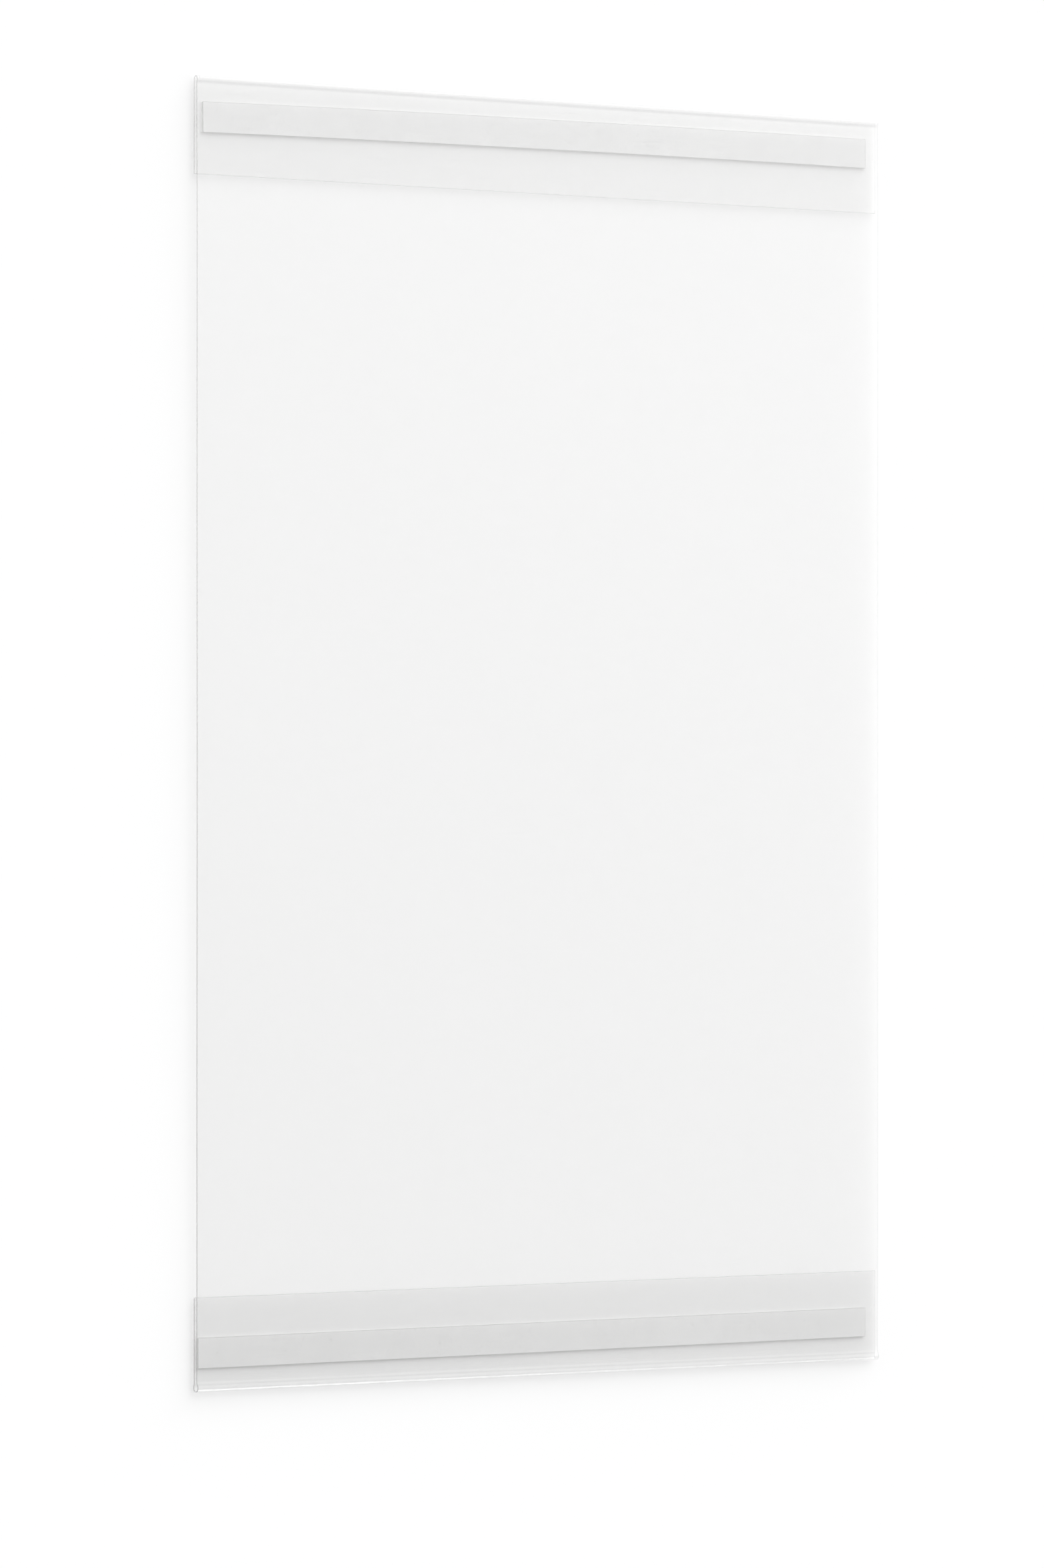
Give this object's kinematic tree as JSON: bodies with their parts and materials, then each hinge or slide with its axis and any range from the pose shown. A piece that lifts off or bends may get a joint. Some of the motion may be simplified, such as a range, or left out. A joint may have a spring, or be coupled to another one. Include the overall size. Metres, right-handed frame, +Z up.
{
  "type": "magnetic display pocket",
  "caption": "Clear folded-film pocket for an A3 sheet, with short rear flaps at top and bottom, each carrying a white-faced magnetic strip for a steel board.",
  "frame": {"origin": "on the rear face of the upper magnet, at half the strip's height and on the pocket's upright centre line", "axes": "+Z up along the pocket, +X along its width to the right as read, +Y out of its back into the board, so the sheet is read from -Y"},
  "size_m": [0.3, 0.0032, 0.427],
  "materials": {
    "clear_film": "glossy clear rigid film",
    "magnet_core": "matt flexible ferrite, faint coating lines",
    "white_facing": "satin white vinyl",
    "clear_adhesive": "translucent adhesive layer"
  },
  "bodies": {
    "upper_mounting": {"upper_flap": "clear_film", "upper_fold": "clear_film", "upper_adhesive": "clear_adhesive", "upper_facing": "white_facing", "upper_magnet": "magnet_core"},
    "front": {"front_panel": "clear_film"},
    "lower_mounting": {"lower_flap": "clear_film", "lower_fold": "clear_film", "lower_adhesive": "clear_adhesive", "lower_facing": "white_facing", "lower_magnet": "magnet_core"}
  },
  "joints": [
    {"name": "upper_fold_hinge", "type": "hinge", "parent": "upper_mounting", "child": "front", "pos_m": [0, -0.0019, 0.0121], "axis": [-1, 0, 0], "range_deg": [0, 60], "stiffness_Nm_per_rad": 0.2, "deforming": ["upper_fold"]},
    {"name": "lower_fold_hinge", "type": "hinge", "parent": "front", "child": "lower_mounting", "pos_m": [0, -0.0019, -0.4145], "axis": [-1, 0, 0], "range_deg": [0, 60], "stiffness_Nm_per_rad": 0.05, "deforming": ["lower_fold"]}
  ]
}
